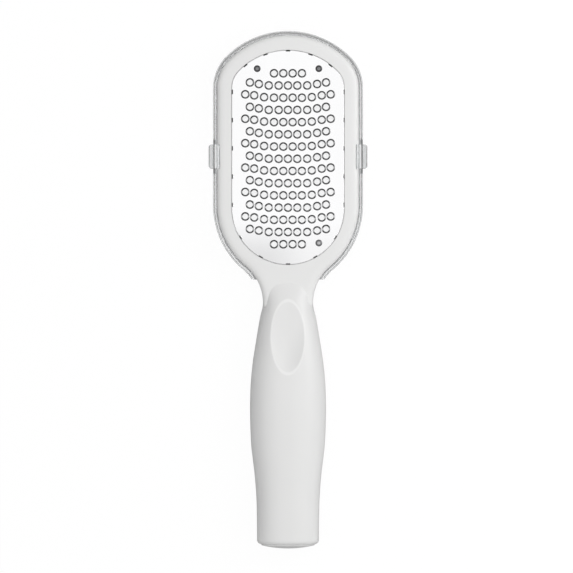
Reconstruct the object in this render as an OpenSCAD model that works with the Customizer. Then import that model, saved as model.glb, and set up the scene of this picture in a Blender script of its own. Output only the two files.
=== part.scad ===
// Foot rasp with a clip-on tray that catches the filings. All sizes are in millimetres.
// It lies on its back, with X across, Y from the heel of the grip to the tip of the head, and Z out of
// the rasping face.
// The origin is on the surface that it lies on, midway along its length.

/* [Length] */
// Tip of the head to the narrowest place of the neck
head_l = 115.6; // [112:0.1:140]
// Narrowest place of the neck to the heel of the grip
grip_l = 104.4; // [90:0.1:140]

/* [Outline of the head, on the tray] */
// Width of the head across the tray
head_w = 63.7; // [62:0.1:68]
// Radius of the two corners beside the tip
corner_r = 18.7; // [15:0.1:22]
// Tip of the head to the middles of those corners: the nearer to their radius, the flatter the tip
tip_d = 24.15; // [23:0.05:28]
// Radius of the two shoulders above the neck
shoulder_r = 35.7; // [33:0.1:38]

/* [Frame of the head] */
// Height of the frame's face over the surface below
face_z = 16; // [15:0.1:20]
// Radius of the rounded edge of the face
edge_r = 2.2; // [1.5:0.1:3.5]
// Thickness of the web around the rasping plate
web_t = 2.6; // [2:0.1:3.5]
// Thickness of the skirt that hangs from the web
skirt_t = 2; // [1.5:0.1:3]
// Thickness of the bulkhead towards the grip
bulkhead_t = 2; // [1.5:0.1:3]

/* [Grip] */
// Width of the neck at its narrowest, and radius of its hollow sides
neck_w = 21.3; // [18:0.1:24]
neck_r = 20.2; // [17:0.1:23]
// Width of the grip at its widest and at its heel
grip_w = 32.3; // [29:0.1:36]
heel_w = 26.4; // [23:0.1:29]
// Height of the crown at the neck, at the belly and at the heel
neck_top = 18.8; // [18:0.1:20]
belly_top = 22; // [20.5:0.1:25]
heel_top = 19.2; // [17:0.1:21]
// Height of the underside at the neck and at the heel
neck_under = 2.2; // [1.6:0.1:3.5]
heel_under = 2.4; // [1:0.1:4]
// Height of the joint between the two shells of the grip
joint_z = 10; // [9:0.1:11]
// Wall of the two shells
shell_t = 2.2; // [1.6:0.1:2.8]
// Bulge of the heel's end face, and radius of the rounding around it
heel_bulge = 1.9; // [0.5:0.1:3]
heel_r = 1.8; // [1:0.1:3]
// Length, width and depth of the thumb rest
thumb_l = 30.7; // [24:0.1:34]
thumb_w = 14.2; // [11:0.1:16]
thumb_d = 1.9; // [1.2:0.1:2.4]
// Middle of the thumb rest below the narrowest place of the neck
thumb_down = 14.4; // [13:0.1:20]
// Radius of the pegs between the shells, and how far they reach into the sockets
peg_r = 1.6; // [1.2:0.1:2]
peg_h = 4; // [3:0.1:5]
// The two pegs below the narrowest place of the neck
upper_peg = 38; // [36:0.5:46]
lower_peg = 82; // [60:0.5:84]

/* [Rasping plate] */
// Length of the plate
plate_l = 90.8; // [88:0.1:92]
// Outline of the head to the edge of the plate, at the sides and at the tip
plate_in = 8.05; // [7.5:0.05:9]
plate_tip_in = 8.4; // [7.5:0.05:9.5]
// Thickness of the sheet steel, and how far it stands over the frame's face
plate_t = 0.6; // [0.4:0.05:0.8]
plate_proud = 0.2; // [0:0.05:0.4]
// Width of the ledge that the plate lies on
ledge_w = 2.2; // [1.8:0.1:3]
// Radius of the hole in a tooth, of the tooth's foot and of its lip
hole_r = 1.2; // [0.9:0.05:1.3]
tooth_r = 1.8; // [1.6:0.05:1.85]
lip_r = 1.45; // [1.35:0.05:1.55]
// Height of the teeth over the plate
tooth_h = 0.45; // [0.2:0.05:0.8]
// Distance between rows of teeth
row_pitch = 5.18; // [4.9:0.01:5.5]
// Distances along a row: in the chain at its middle, across a gap, and in the pair at its end
chain_pitch = 3.95; // [3.8:0.01:4.1]
gap_pitch = 4.2; // [4.1:0.01:4.3]
pair_pitch = 3.8; // [3.75:0.01:3.9]
// How far the ends of a row lie above its middle
row_lift = 1.44; // [0:0.01:2]
// Middle of the teeth below the tip of the head
teeth_down = 54.4; // [53:0.1:56]
// Width of the plate's border that has no teeth
border_w = 3.4; // [3:0.1:4]
// Width of the prongs that hold the plate, and how far their tips, turned over under the web, run out
prong_w = 1.9; // [1.2:0.1:2.6]
prong_tip = 1.2; // [0.8:0.1:1.6]
// Degrees from the ends of the plate's tip arc, and of its low arc, to their outer prongs
tip_rest_a = 6.7; // [5:0.1:12]
low_rest_a = 31.5; // [20:0.1:40]

/* [Rivets] */
// Radius of the shank
rivet_r = 1; // [0.8:0.05:1.2]
// Radius and height of the domed head
rivet_head_r = 1.45; // [1.35:0.05:1.7]
rivet_head_h = 0.5; // [0.3:0.05:0.8]
// Edge of the plate to the middle of a rivet
rivet_in = 4.1; // [3.6:0.1:4.6]
// Degrees from the ends of the plate's tip arc, and of its low arc, to the rivets
upper_rivet_a = 13.7; // [11:0.1:15]
lower_rivet_a = 48.4; // [44:0.1:50]
// Radius and height of the boss around a rivet
boss_r = 3; // [2.5:0.1:3.5]
boss_h = 4; // [3:0.1:6]

/* [Tray] */
// Thickness of the wall and of the floor
tray_wall = 1.5; // [1:0.1:1.8]
tray_floor = 1.5; // [1:0.1:1.6]
// Height of the rim over the surface below
rim_z = 13; // [11:0.1:13]
// Radius around the floor
tray_r = 2; // [1:0.1:3]
// Gap between the tray and the skirt
tray_gap = 0.3; // [0.2:0.05:0.5]
// Cut end of the tray above the narrowest place of the neck
tray_end = 10; // [9.5:0.1:12]
// Length of the two clips, and their middle below the tip of the head
clip_l = 10.2; // [8:0.1:14]
clip_down = 53.4; // [45:0.1:60]
// How far a clip stands out of the wall, and how far it hooks over the frame
clip_out = 1.8; // [1:0.1:3]
clip_hook = 1.15; // [0.8:0.05:1.5]
// Thickness of the hook, and radius of the clip's two outer corners
hook_t = 1.1; // [0.8:0.1:1.4]
clip_r = 1.2; // [0.4:0.1:1.6]
// Width and depth of the slots beside a clip
relief_w = 2.1; // [1:0.1:3]
relief_d = 6; // [4:0.1:8]

/* [Hidden] */
$fn = 48;

slack = 0.1; // play around prongs, rivets and pegs
plate_gap = 0.15; // between the plate's edge and the recess in the frame
slot_out = 0.2; // how far a prong's slot runs past the plate's edge
through_cut = 1; // how far a cut runs past the surface that it opens
arc_step = 5.5; // degrees between the points of an outline's arcs
skin_step = 3.8; // distance between the sections of the grip
skin_points = 18; // points across a section of the grip

tip_y = (head_l + grip_l) / 2;
neck_y = tip_y - head_l;
heel_y = -tip_y;
end_y = neck_y + tray_end;
body_in = tray_wall + tray_gap; // from the tray's outline in to the frame's
web_z = face_z - web_t;
ledge_z = face_z + plate_proud - plate_t;
plate_top = face_z + plate_proud;

// Outline of the head. An arc keeps its middle when the outline moves in by d.
corner_c = [head_w / 2 - corner_r, tip_y - tip_d];
tip_r = (pow(corner_c.x, 2) + pow(tip_d, 2) - pow(corner_r, 2)) / (tip_d - corner_r) / 2;
tip_c = [0, tip_y - tip_r];
tip_a = atan2(corner_c.x, corner_c.y - tip_c.y);
neck_c = [neck_w / 2 + neck_r, neck_y];
shoulder_x = head_w / 2 - shoulder_r;
shoulder_up = sqrt(pow(shoulder_r - body_in + neck_r, 2) - pow(neck_c.x - shoulder_x, 2));
shoulder_c = [shoulder_x, neck_y + shoulder_up];
shoulder_a = 90 + atan2(shoulder_up, neck_c.x - shoulder_x);

function arc_steps(angle) = ceil(abs(angle) / arc_step);
function arc(c, r, from, to) = let (n = arc_steps(to - from))
    [for (i = [0:n]) let (a = from + (to - from) * i / n) c + r * [sin(a), cos(a)]];
function half_tip(d) = concat(
    arc(tip_c, tip_r - d, 0, tip_a - arc_step / 2),
    arc(corner_c, corner_r - d, tip_a, 90),
    arc(shoulder_c, shoulder_r - d, 90, shoulder_a),
    arc(neck_c, neck_r - body_in + d, shoulder_a - 180 - arc_step, -90)
);
// A right side closed by its mirror image. Points on the middle line aren't repeated.
function mirrored(side) = concat(
    side, [for (i = [len(side) - 1:-1:0]) if (side[i].x > slack) [-side[i].x, side[i].y]]
);
function head_outline(d) = mirrored(half_tip(d));

// Outline of the frame, with a tongue that runs on into the grip
tongue_l = 5;
function frame_outline(d) = mirrored(concat(
    half_tip(body_in + d),
    [for (a = [25, 50, 75]) [(neck_w / 2 - d) * cos(a), neck_y - tongue_l * sin(a)]]
));

// Outline of the plate, moved out by d: the head's tip moved in, and a half circle at the low end
plate_half = head_w / 2 - plate_in;
plate_drop = [0, plate_tip_in - plate_in];
plate_tip_c = tip_c - plate_drop;
plate_tip_r = tip_r - plate_in;
plate_corner_c = corner_c - plate_drop;
plate_corner_r = corner_r - plate_in;
plate_low_c = [0, tip_y - plate_tip_in - plate_l + plate_half];
function plate_outline(d) = mirrored(concat(
    arc(plate_tip_c, plate_tip_r + d, 0, tip_a - arc_step / 2),
    arc(plate_corner_c, plate_corner_r + d, tip_a, 90),
    arc(plate_low_c, plate_half + d, 90, 180)
));

// Distance from a point in to the plate's edge
function plate_inset(p) =
    p.y < plate_low_c.y ? plate_half - norm(p - plate_low_c) :
    p.y < plate_corner_c.y ? plate_half - abs(p.x) :
    abs(p.x) > (p.y - plate_tip_c.y) * tan(tip_a) ?
        plate_corner_r - norm([abs(p.x), p.y] - plate_corner_c) :
    plate_tip_r - norm(p - plate_tip_c);

// Smooth line through points whose first number grows
function slope(line, i) = let (a = line[max(i - 1, 0)], b = line[min(i + 1, len(line) - 1)])
    (b[1] - a[1]) / (b[0] - a[0]);
function along(line, g, i = 0) =
    i < len(line) - 2 && g > line[i + 1][0] ? along(line, g, i + 1) :
    let (h = line[i + 1][0] - line[i][0], t = (g - line[i][0]) / h, u = 1 - t)
        line[i][1] * u * u * (1 + 2 * t) + line[i + 1][1] * t * t * (1 + 2 * u)
        + h * t * u * (slope(line, i) * u - slope(line, i + 1) * t);
function mix(a, b, t) = a + (b - a) * t;
function smooth(t) = let (c = min(max(t, 0), 1)) c * c * (3 - 2 * c);

// The grip by g, the share of the way from the neck to the heel: half width, crown and underside
half_line = [
    [-0.06, mix(neck_w, grip_w, 0.23) / 2],
    [0, neck_w / 2],
    [0.06, mix(neck_w, grip_w, 0.23) / 2],
    [0.13, mix(neck_w, grip_w, 0.46) / 2],
    [0.25, mix(neck_w, grip_w, 0.81) / 2],
    [0.34, mix(neck_w, grip_w, 0.96) / 2],
    [0.45, grip_w / 2],
    [0.58, mix(grip_w, heel_w, 0.17) / 2],
    [0.65, mix(grip_w, heel_w, 0.46) / 2],
    [0.72, mix(grip_w, heel_w, 0.73) / 2],
    [0.81, mix(grip_w, heel_w, 0.94) / 2],
    [0.92, heel_w / 2],
    [1, heel_w / 2]
];
nose = 0.08; // share at which the crown comes out of the neck's flat face, above the neck
crown_line = [
    [-2 * nose, face_z - 3],
    [-nose, face_z],
    [0, neck_top],
    [0.08, mix(neck_top, belly_top, 0.42)],
    [0.2, mix(neck_top, belly_top, 0.8)],
    [0.45, belly_top],
    [0.75, mix(belly_top, heel_top, 0.55)],
    [1, heel_top]
];
under_line = [
    [-0.1, neck_under],
    [0, neck_under],
    [0.2, neck_under * 0.4],
    [0.47, 0],
    [0.75, heel_under * 0.5],
    [1, heel_under]
];
fullness = 2.4; // exponent of the grip's section: 2 is an ellipse
land = 0.4; // upright band on each side of the joint between the shells
function share(y) = (neck_y - y) / grip_l;
function neck_half(y) = neck_c.x - sqrt(neck_r * neck_r - pow(y - neck_y, 2));
function grip_half(y) = y > neck_y ? neck_half(y) - slack : along(half_line, share(y));
function section(u) = pow(max(1 - pow(min(abs(u), 1), fullness), 0), 1 / fullness);
function crown(y) = along(crown_line, share(y));
function under(y) = along(under_line, share(y));

// Depth of the thumb rest at a place
thumb_y = neck_y - thumb_down;
function thumb(x, y) = thumb_d * max(1 - pow(2 * x / thumb_w, 2) - pow(2 * (y - thumb_y) / thumb_l, 2), 0);

// Sections of the grip, in by d: points over the crown, or under the belly, and the joint's edges.
// At s below 1 a section is drawn in towards the middle of the joint, to close the heel.
function front_section(y, d = 0, s = 1, drop = 0) = let (
    half = grip_half(y) - d, base = joint_z + land, top = crown(y) - d
) concat(
    [[half * s, joint_z - drop]],
    [for (i = [0:skin_points]) let (u = cos(180 * i / skin_points))
        [half * s * u, base + s * ((top - base) * section(u) - (d > 0 ? thumb(half * u, y) : 0))]],
    [[-half * s, joint_z - drop]]
);
function back_section(y, d = 0, s = 1, drop = 0) = let (
    half = grip_half(y) - d, base = joint_z - land, low = under(y) + d
) concat(
    [[-half * s, joint_z + drop]],
    [for (i = [0:skin_points]) let (u = -cos(180 * i / skin_points))
        [half * s * u, base - s * (base - low) * section(u)]],
    [[half * s, joint_z + drop]]
);
function placed(points, y) = [for (p = points) [p[0], y, p[1]]];
function stations(from, to) = let (n = ceil((from - to) / skin_step))
    [for (i = [0:n]) mix(from, to, i / n)];

// How the heel closes: place and size of each section
heel_edge = heel_y + heel_bulge;
heel_half = heel_w / 2;
heel_stations = concat(
    [for (a = [25, 50, 75]) [heel_edge + heel_r * (1 - sin(a)), 1 - heel_r * (1 - cos(a)) / heel_half]],
    [for (s = [0.8, 0.55, 0.3, 0.1]) [heel_y + heel_bulge * s * s, s]]
);

// A skin over closed sections that all have the same number of points
module skin(rings) {
    n = len(rings[0]);
    last = len(rings) - 1;
    polyhedron(
        points = [for (ring = rings) each ring],
        faces = concat(
            [[for (j = [0:n - 1]) j]],
            [for (i = [0:last - 1]) for (j = [0:n - 1]) let (a = i * n + j, b = i * n + (j + 1) % n)
                [a, a + n, b + n, b]],
            [[for (j = [n - 1:-1:0]) last * n + j]]
        )
    );
}

module level_skin(levels) {
    skin([for (level = levels) [for (p = level[0]) [p.x, p.y, level[1]]]]);
}

module plate_solid(outline, z, h) {
    translate([0, 0, z])
        linear_extrude(h)
            polygon(outline);
}

// A block that reaches past the whole part, from a lowest corner
module block(x, y, z, size) {
    translate([x, y, z])
        cube(size);
}

// Sites around the plate's edge: place and turn of each prong
side_prongs = 5;
side_rest = 1.5; // from the ends of the straight edge to its outer prongs
prong_sites = concat(
    [for (i = [-2:2]) let (a = i / 2 * (tip_a - tip_rest_a))
        [plate_tip_c + plate_tip_r * [sin(a), cos(a)], -a]],
    [for (i = [-2:2]) let (a = 180 + i / 2 * (90 - low_rest_a))
        [plate_low_c + plate_half * [sin(a), cos(a)], -a]],
    [for (side = [-1, 1]) for (i = [0:side_prongs - 1])
        [
            [
                side * plate_half,
                mix(plate_corner_c.y - side_rest, plate_low_c.y + side_rest, i / (side_prongs - 1))
            ],
            -side * 90
        ]]
);

// Places of the rivets
function rim_place(c, r, a) = c + (r - rivet_in) * [sin(a), cos(a)];
upper_rivet = rim_place(plate_tip_c, plate_tip_r, tip_a - upper_rivet_a);
lower_rivet = rim_place(plate_low_c, plate_half, 90 + lower_rivet_a);
rivet_sites = [[-upper_rivet.x, upper_rivet.y], upper_rivet, lower_rivet];

// Places of the teeth. Rows with a tooth on the middle line alternate with rows that straddle it.
teeth_y = tip_y - teeth_down;
row_straight = 7.2; // half the length of a row's level stretch
row_end = 18.3; // where a row reaches its full lift
row_steps = [chain_pitch, gap_pitch, gap_pitch, pair_pitch, gap_pitch];
function sum(list, n) = n == 0 ? 0 : list[n - 1] + sum(list, n - 1);
function tooth_place(row, k, side) = let (
    x = side * (row % 2 == 0 ? sum(row_steps, k) : chain_pitch / 2 + sum(row_steps, k))
) [x, teeth_y + row * row_pitch + row_lift * smooth((abs(x) - row_straight) / (row_end - row_straight))];
function clear_of_rivets(p) = let (q = [abs(p.x), p.y], gap = rivet_head_r + tooth_r + 0.6)
    norm(q - upper_rivet) > gap && norm(q - lower_rivet) > gap;
tooth_sites = [
    for (row = [-9:9]) for (side = [-1, 1]) for (k = [0:len(row_steps)])
        let (p = tooth_place(row, k, side))
        if (!(row % 2 == 0 && k == 0 && side < 0))
        if (plate_inset(p) > border_w + tooth_r && clear_of_rivets(p)) p
];

// Clips: a profile across the tray's wall, outwards from its outer face
clip_y = tip_y - clip_down;
clip_root = rim_z - relief_d;
clip_profile = [
    [-tray_wall, clip_root],
    [0, clip_root],
    [clip_out, clip_root + relief_d * 0.55],
    [clip_out, face_z - 0.5],
    [clip_out - 0.5, face_z],
    [-body_in - clip_hook + 0.3, face_z],
    [-body_in - clip_hook, face_z - 0.4],
    [-body_in - clip_hook, face_z - hook_t],
    [-tray_wall, face_z - hook_t]
];

// One clip, on the side given by its sign. Seen from above its outer corners are round.
clip_plan = concat(
    [[-head_w / 2, -clip_l / 2]],
    arc([clip_out - clip_r, clip_r - clip_l / 2], clip_r, 180, 90),
    arc([clip_out - clip_r, clip_l / 2 - clip_r], clip_r, 90, 0),
    [[-head_w / 2, clip_l / 2]]
);
module clip(side) {
    translate([side * head_w / 2, clip_y, 0])
        rotate(side > 0 ? 0 : 180)
            intersection() {
                translate([0, clip_l / 2, 0])
                    rotate([90, 0, 0])
                        linear_extrude(clip_l)
                            polygon(clip_profile);
                linear_extrude(2 * face_z)
                    polygon(clip_plan);
            }
}

// The head's frame: a web with a skirt, open at the back, and a solid neck behind the bulkhead
module frame() {
    difference() {
        level_skin([
            for (a = [0, 25, 50, 75, 90])
                [frame_outline(edge_r * (1 - sin(a))), face_z - edge_r * (1 - cos(a))],
            [frame_outline(0), tray_floor]
        ]);
        block(-head_w, heel_y, 0, [2 * head_w, end_y - heel_y, joint_z]);
        difference() {
            plate_solid(head_outline(body_in + skirt_t), 0, web_z);
            block(-head_w, heel_y, 0, [2 * head_w, end_y + bulkhead_t - heel_y, face_z]);
        }
        plate_solid(plate_outline(-ledge_w), 0, 2 * face_z);
    }
}

module front_skin() {
    skin(concat(
        [for (y = stations(neck_y + nose * grip_l + 0.5, heel_edge + heel_r))
            placed(front_section(y), y)],
        [for (e = heel_stations) placed(front_section(e[0], 0, e[1]), e[0])]
    ));
}

module back_skin() {
    skin(concat(
        [for (y = stations(end_y, heel_edge + heel_r)) placed(back_section(y), y)],
        [for (e = heel_stations) placed(back_section(e[0], 0, e[1]), e[0])]
    ));
}

// Where the two shells are hollow
hollow_from = neck_y - tongue_l - 1;
hollow_to = heel_edge + shell_t;
module front_hollow() {
    skin([for (y = stations(hollow_from, hollow_to)) placed(front_section(y, shell_t, 1, through_cut), y)]);
}
module back_hollow() {
    skin([for (y = stations(hollow_from, hollow_to)) placed(back_section(y, shell_t, 1, through_cut), y)]);
}

// A bowl that scoops the thumb rest out of the crown. Its rim is an ellipse that lies on the crown.
bowl_points = 30;
function crown_surface(x, y) = let (base = joint_z + land)
    base + (crown(y) - base) * section(x / grip_half(y));
function bowl_ring(f, top = 0) = let (low = crown(thumb_y) - thumb_d) [
    for (i = [0:bowl_points - 1])
        let (a = -360 * i / bowl_points, x = thumb_w / 2 * cos(a), y = thumb_l / 2 * sin(a))
            [f * x, thumb_y + f * y, top > 0 ? top : low + (crown_surface(x, thumb_y + y) - low) * f * f]
];
module thumb_scoop() {
    skin([bowl_ring(1.2, 2 * face_z), for (f = [1.2, 1, 0.84, 0.66, 0.46, 0.26, 0.08]) bowl_ring(f)]);
}

peg_places = [neck_y - upper_peg, neck_y - lower_peg];
socket_r = peg_r + slack + shell_t;
boss_z = ledge_z - boss_h;

notch_x = head_w / 2 - body_in - clip_hook - slack; // inner end of the notches that take the hooks

// Front shell: the frame of the head, the neck and the front half of the grip, moulded in one
module handle_front() {
    color("#f3f3f1")
    difference() {
        union() {
            frame();
            difference() {
                front_skin();
                front_hollow();
                thumb_scoop();
            }
            for (y = peg_places)
                translate([0, y, joint_z])
                    cylinder(r = socket_r, h = crown(y) - shell_t / 2 - joint_z);
            for (p = rivet_sites)
                translate([p.x, p.y, boss_z])
                    cylinder(r = boss_r, h = boss_h);
        }
        plate_solid(plate_outline(plate_gap), ledge_z, face_z);
        for (site = prong_sites)
            translate([site[0].x, site[0].y, 0])
                rotate(site[1])
                    block(
                        -prong_w / 2 - slack, -plate_t - slack, web_z - through_cut,
                        [prong_w + 2 * slack, plate_t + slack + slot_out, face_z]
                    );
        for (p = rivet_sites)
            translate([p.x, p.y, 0])
                cylinder(r = rivet_r + slack, h = 2 * face_z);
        for (y = peg_places)
            translate([0, y, 0])
                cylinder(r = peg_r + slack, h = joint_z + peg_h + slack);
        for (side = [-1, 1])
            block(
                side > 0 ? notch_x : -head_w, clip_y - clip_l / 2 - tray_gap, face_z - hook_t - slack,
                [head_w - notch_x, clip_l + 2 * tray_gap, face_z]
            );
    }
}

// Back shell of the grip, with the pegs that enter the front shell's sockets
module handle_back() {
    color("#ececea")
    union() {
        difference() {
            back_skin();
            back_hollow();
        }
        for (y = peg_places) {
            translate([0, y, under(y) + shell_t / 2])
                cylinder(r = socket_r, h = joint_z - under(y) - shell_t / 2);
            translate([0, y, joint_z])
                cylinder(r = peg_r, h = peg_h);
        }
    }
}

// A prong: down through its slot from the plate's edge, with the tip turned over under the web
prong_low = web_z - slack - plate_t;
module prong() {
    block(-prong_w / 2, -plate_t, prong_low, [prong_w, plate_t, plate_top - plate_t / 2 - prong_low]);
    block(-prong_w / 2, -plate_t, prong_low, [prong_w, plate_t + prong_tip, plate_t]);
}

// Rasping plate: sheet steel with a raised lip around each hole, held by prongs all round its edge
module rasp_plate() {
    color("#cfd2d6")
    difference() {
        union() {
            plate_solid(plate_outline(0), ledge_z, plate_t);
            for (p = tooth_sites)
                translate([p.x, p.y, plate_top])
                    cylinder(r1 = tooth_r, r2 = lip_r, h = tooth_h);
            for (site = prong_sites)
                translate([site[0].x, site[0].y, 0])
                    rotate(site[1])
                        prong();
        }
        for (p = tooth_sites)
            translate([p.x, p.y, 0])
                cylinder(r = hole_r, h = 2 * face_z);
        for (p = rivet_sites)
            translate([p.x, p.y, 0])
                cylinder(r = rivet_r + slack, h = 2 * face_z);
    }
}

// A rivet with a domed head on the plate and a flat tail under the boss
module rivet(p) {
    color("#5c5e61")
    translate([p.x, p.y, 0])
        rotate_extrude()
            polygon(concat(
                [[0, boss_z - rivet_head_h], [rivet_head_r, boss_z - rivet_head_h], [rivet_head_r, boss_z]],
                [[rivet_r, boss_z], [rivet_r, plate_top]],
                [for (a = [0, 20, 40, 60, 75, 90])
                    [rivet_head_r * cos(a), plate_top + rivet_head_h * sin(a)]]
            ));
}

// Tray: a clear moulding around the back of the frame, with a clip on each side that hooks over its edge
module catch_tray() {
    color([0.84, 0.88, 0.9, 0.6])
    difference() {
        union() {
            difference() {
                level_skin([
                    [head_outline(0), rim_z],
                    for (a = [0, 30, 60, 90]) [head_outline(tray_r * (1 - cos(a))), tray_r * (1 - sin(a))]
                ]);
                plate_solid(head_outline(tray_wall), tray_floor, rim_z);
                for (end = [-1, 1])
                    block(
                        -head_w, clip_y + end * (clip_l + relief_w) / 2 - relief_w / 2, clip_root,
                        [2 * head_w, relief_w, rim_z]
                    );
            }
            for (side = [-1, 1])
                clip(side);
        }
        block(-head_w, heel_y, -through_cut, [2 * head_w, end_y - heel_y, 2 * face_z]);
    }
}

handle_front();
handle_back();
rasp_plate();
rivet(rivet_sites[0]);  // rivet_upper_left
rivet(rivet_sites[1]);  // rivet_upper_right
rivet(rivet_sites[2]);  // rivet_lower_right
catch_tray();
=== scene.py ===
# Foot rasp with a clear catch tray, shot from straight above on white.
# Sizes are in millimetres and points are (x, y) or (x, y, z), until meshObject turns them into metres.
import math

import bmesh
import bpy
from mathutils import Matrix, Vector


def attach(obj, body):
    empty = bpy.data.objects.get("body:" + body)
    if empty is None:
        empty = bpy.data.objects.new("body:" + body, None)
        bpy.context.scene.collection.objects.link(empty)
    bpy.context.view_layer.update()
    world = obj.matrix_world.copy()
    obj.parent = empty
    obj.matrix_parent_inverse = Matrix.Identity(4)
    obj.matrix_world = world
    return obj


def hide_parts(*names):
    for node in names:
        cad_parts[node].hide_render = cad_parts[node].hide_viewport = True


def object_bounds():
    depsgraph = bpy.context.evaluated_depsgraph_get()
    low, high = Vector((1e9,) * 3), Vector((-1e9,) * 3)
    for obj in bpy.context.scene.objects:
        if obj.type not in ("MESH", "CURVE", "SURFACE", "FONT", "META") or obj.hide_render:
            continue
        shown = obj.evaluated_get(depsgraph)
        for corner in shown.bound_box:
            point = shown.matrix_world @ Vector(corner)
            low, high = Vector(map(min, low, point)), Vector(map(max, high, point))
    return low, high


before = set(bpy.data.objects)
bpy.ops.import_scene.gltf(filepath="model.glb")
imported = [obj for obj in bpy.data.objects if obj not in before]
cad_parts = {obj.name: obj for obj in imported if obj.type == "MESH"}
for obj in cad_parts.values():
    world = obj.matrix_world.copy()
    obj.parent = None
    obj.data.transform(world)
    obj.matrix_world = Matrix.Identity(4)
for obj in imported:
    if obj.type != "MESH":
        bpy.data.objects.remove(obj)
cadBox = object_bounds()
scene = bpy.context.scene
mm = 0.001
far, farDown = 99, -9  # cutting shapes reach this far past the object

# Outline of the head, as the tray has it. The frame's outline lies bodyInset further in.
head = {
    "tipY": cadBox[1].y / mm,
    "length": 115.6,  # tip to the narrowest place of the neck
    "width": 63.7,
    "cornerRadius": 18.7,
    "tipDrop": 24.15,  # tip to the middles of the corners
    "shoulderRadius": 35.7,
    "neckWidth": 21.3,
    "neckRadius": 20.2,
    "bodyInset": 1.8,
}
tipY = head["tipY"]
neckY = tipY - head["length"]
heelY = -tipY


def arc(centre, radius, start, end, step=2.2):
    # angles run clockwise from straight up, in degrees
    count = max(1, math.ceil(abs(end - start) / step))
    turns = [math.radians(start + (end - start) * i / count) for i in range(count + 1)]
    return [(centre[0] + radius * math.sin(a), centre[1] + radius * math.cos(a)) for a in turns]


cornerX = head["width"] / 2 - head["cornerRadius"]
cornerY = tipY - head["tipDrop"]
tipRadius = (cornerX ** 2 + head["tipDrop"] ** 2 - head["cornerRadius"] ** 2)
tipRadius /= 2 * (head["tipDrop"] - head["cornerRadius"])
tipCentre = (0, tipY - tipRadius)
tipAngle = math.degrees(math.atan2(cornerX, cornerY - tipCentre[1]))
neckX = head["neckWidth"] / 2 + head["neckRadius"]
shoulderX = head["width"] / 2 - head["shoulderRadius"]
reach = head["shoulderRadius"] - head["bodyInset"] + head["neckRadius"]
shoulderY = neckY + math.sqrt(reach ** 2 - (neckX - shoulderX) ** 2)
shoulderAngle = 90 + math.degrees(math.atan2(shoulderY - neckY, neckX - shoulderX))


def mirrored(side):
    # closes a right half, from the top down to the bottom, with its left half
    return side + [(-x, y) for x, y in reversed(side) if x > 0.1]


def halfHead(inset):
    # an arc stops one or two degrees short of where the next one starts
    return (
        arc(tipCentre, tipRadius - inset, 0, tipAngle - 1)
        + arc((cornerX, cornerY), head["cornerRadius"] - inset, tipAngle, 90)
        + arc((shoulderX, shoulderY), head["shoulderRadius"] - inset, 90, shoulderAngle)
        + arc((neckX, neckY), head["neckRadius"] - head["bodyInset"] + inset, shoulderAngle - 182, -90)
    )


def headOutline(inset):
    return mirrored(halfHead(inset))


def frameOutline(inset, tongue=5):
    # past the neck a tongue runs on into the grip
    half = head["neckWidth"] / 2 - inset
    turns = [math.radians(a) for a in range(8, 88, 8)]
    end = [(half * math.cos(a), neckY - tongue * math.sin(a)) for a in turns]
    return mirrored(halfHead(head["bodyInset"] + inset) + end)


plate = {
    "length": 90.8,
    "sideInset": 8.05,  # head's outline to the plate's edge
    "tipInset": 8.4,
    "faceZ": 16,  # the frame's face
    "proud": 0.2,  # the plate's top over that face
    "thickness": 0.6,
    "gap": 0.15,
    "ledge": 2.2,
}
plateHalf = head["width"] / 2 - plate["sideInset"]
plateDrop = plate["tipInset"] - plate["sideInset"]
plateTip = (0, tipCentre[1] - plateDrop)
plateCorner = (cornerX, cornerY - plateDrop)
plateLow = (0, tipY - plate["tipInset"] - plate["length"] + plateHalf)
plateTop = plate["faceZ"] + plate["proud"]
ledgeZ = plateTop - plate["thickness"]


def plateOutline(grow):
    tip = tipRadius - plate["sideInset"] + grow
    corner = head["cornerRadius"] - plate["sideInset"] + grow
    return mirrored(
        arc(plateTip, tip, 0, tipAngle - 1)
        + arc(plateCorner, corner, tipAngle, 90)
        + arc(plateLow, plateHalf + grow, 90, 180)
    )


def plateInset(x, y):
    # distance from a point in to the plate's edge
    x = abs(x)
    if y < plateLow[1]:
        return plateHalf - math.hypot(x, y - plateLow[1])
    if y < plateCorner[1]:
        return plateHalf - x
    if x > (y - plateTip[1]) * math.tan(math.radians(tipAngle)):
        return head["cornerRadius"] - plate["sideInset"] - math.hypot(x - plateCorner[0], y - plateCorner[1])
    return tipRadius - plate["sideInset"] - math.hypot(x, y - plateTip[1])


# Mesh helpers

def meshObject(name, points, faces):
    mesh = bpy.data.meshes.new(name)
    mesh.from_pydata([(x * mm, y * mm, z * mm) for x, y, z in points], [], faces)
    shell = bmesh.new()
    shell.from_mesh(mesh)
    bmesh.ops.recalc_face_normals(shell, faces=shell.faces)
    shell.to_mesh(mesh)
    shell.free()
    piece = bpy.data.objects.new(name, mesh)
    scene.collection.objects.link(piece)
    return piece


def loft(name, rings, closed=False):
    # a skin over rings with the same number of points each, capped at both ends unless closed
    count = len(rings[0])
    points = [p for ring in rings for p in ring]
    faces = []
    for i in range(len(rings) if closed else len(rings) - 1):
        a, b = i * count, (i + 1) % len(rings) * count
        faces += [(a + j, a + (j + 1) % count, b + (j + 1) % count, b + j) for j in range(count)]
    if not closed:
        faces += [tuple(range(count)), tuple(range(len(points) - count, len(points)))]
    return meshObject(name, points, faces)


def levels(name, outline, steps):
    # steps are (inset, z)
    return loft(name, [[(x, y, z) for x, y in outline(inset)] for inset, z in steps])


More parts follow.
